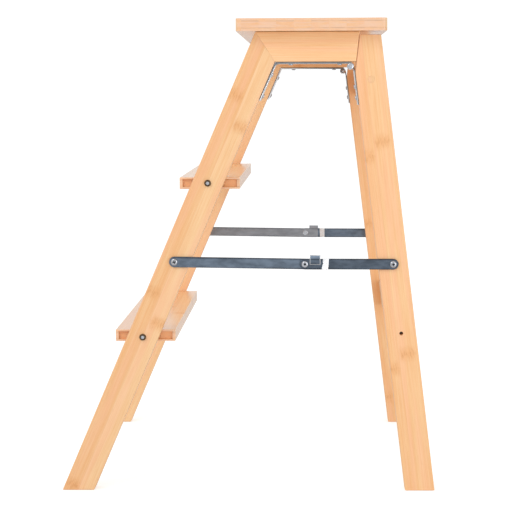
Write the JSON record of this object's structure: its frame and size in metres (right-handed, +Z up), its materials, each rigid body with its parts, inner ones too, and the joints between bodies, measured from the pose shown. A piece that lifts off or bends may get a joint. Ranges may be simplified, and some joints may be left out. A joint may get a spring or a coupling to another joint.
{
  "type": "folding step ladder",
  "caption": "Folding step ladder in laminated bamboo: stiles with treads, a top board, and a hinged rear frame held open by jointed steel spreaders.",
  "frame": {"origin": "on the floor, under the middle of the ladder's box", "axes": "+X from the climbing side to the rear legs, the way the climber faces; +Y to the climber's left; +Z up"},
  "size_m": [0.5494, 0.47, 0.69],
  "materials": {
    "bamboo": "satin lacquer over laminated bamboo strips",
    "bamboo_end_grain": "cut end grain, satin",
    "spreader_steel": "dull zinc",
    "bright_steel": "bright zinc",
    "dark_bolt": "dark bronze plating"
  },
  "bodies": {
    "front_frame": {"top_board": "bamboo", "lower_tread": "bamboo", "upper_tread": "bamboo", "right_front_stile": "bamboo", "right_side_apron": "bamboo", "right_hinge_strap": "bright_steel", "right_hinge_pin": "bright_steel", "right_apron_screw_1": "bright_steel", "right_stile_screw_1": "bright_steel", "right_board_dowel_1": "bamboo_end_grain", "right_apron_screw_2": "bright_steel", "right_stile_screw_2": "bright_steel", "right_board_dowel_2": "bamboo_end_grain", "right_lower_tread_bolt": "dark_bolt", "right_lower_barrel_nut": "bright_steel", "right_upper_tread_bolt": "dark_bolt", "right_upper_barrel_nut": "bright_steel", "left_front_stile": "bamboo", "left_side_apron": "bamboo", "left_hinge_strap": "bright_steel", "left_hinge_pin": "bright_steel", "left_apron_screw_1": "bright_steel", "left_stile_screw_1": "bright_steel", "left_board_dowel_1": "bamboo_end_grain", "left_apron_screw_2": "bright_steel", "left_stile_screw_2": "bright_steel", "left_board_dowel_2": "bamboo_end_grain", "left_lower_tread_bolt": "dark_bolt", "left_lower_barrel_nut": "bright_steel", "left_upper_tread_bolt": "dark_bolt", "left_upper_barrel_nut": "bright_steel"},
    "rear_frame": {"lower_rear_rail": "bamboo", "upper_rear_rail": "bamboo", "right_rear_leg": "bamboo", "right_hinge_leaf": "bright_steel", "right_leaf_screw_1": "bright_steel", "right_leaf_screw_2": "bright_steel", "right_spreader_rear_screw": "bright_steel", "right_lower_rail_screw": "dark_bolt", "right_upper_rail_screw": "dark_bolt", "right_rail_screw_plug": "bamboo_end_grain", "left_rear_leg": "bamboo", "left_hinge_leaf": "bright_steel", "left_leaf_screw_1": "bright_steel", "left_leaf_screw_2": "bright_steel", "left_spreader_rear_screw": "bright_steel", "left_lower_rail_screw": "dark_bolt", "left_upper_rail_screw": "dark_bolt", "left_rail_screw_plug": "bamboo_end_grain"},
    "right_short_link": {"right_spreader_short_link": "spreader_steel"},
    "right_long_link": {"right_spreader_long_link": "spreader_steel", "right_spreader_front_screw": "bright_steel", "right_spreader_middle_rivet": "bright_steel"},
    "left_short_link": {"left_spreader_short_link": "spreader_steel"},
    "left_long_link": {"left_spreader_long_link": "spreader_steel", "left_spreader_front_screw": "bright_steel", "left_spreader_middle_rivet": "bright_steel"}
  },
  "joints": [
    {"name": "fold", "type": "hinge", "parent": "front_frame", "child": "rear_frame", "pos_m": [0.15133, 0, 0.6222], "axis": [0, 1, 0], "range_deg": [0, 38]},
    {"name": "right_spreader_rear_pivot", "type": "hinge", "parent": "rear_frame", "child": "right_short_link", "pos_m": [0.21291, -0.2173, 0.336], "axis": [0, 1, 0], "range_deg": [0, 48.1]},
    {"name": "right_spreader_middle_pivot", "type": "hinge", "parent": "right_short_link", "child": "right_long_link", "pos_m": [0.08483, -0.2173, 0.33667], "axis": [0, 1, 0], "range_deg": [-137.7, 0]},
    {"name": "left_spreader_rear_pivot", "type": "hinge", "parent": "rear_frame", "child": "left_short_link", "pos_m": [0.21291, 0.2173, 0.336], "axis": [0, 1, 0], "range_deg": [0, 48.1]},
    {"name": "left_spreader_middle_pivot", "type": "hinge", "parent": "left_short_link", "child": "left_long_link", "pos_m": [0.08483, 0.2173, 0.33667], "axis": [0, 1, 0], "range_deg": [-137.7, 0]}
  ],
  "couplings": [
    {"joint": "right_spreader_rear_pivot", "follows": "fold", "ratio": 1.2646},
    {"joint": "right_spreader_middle_pivot", "follows": "fold", "ratio": -3.6219},
    {"joint": "left_spreader_rear_pivot", "follows": "fold", "ratio": 1.2646},
    {"joint": "left_spreader_middle_pivot", "follows": "fold", "ratio": -3.6219}
  ]
}
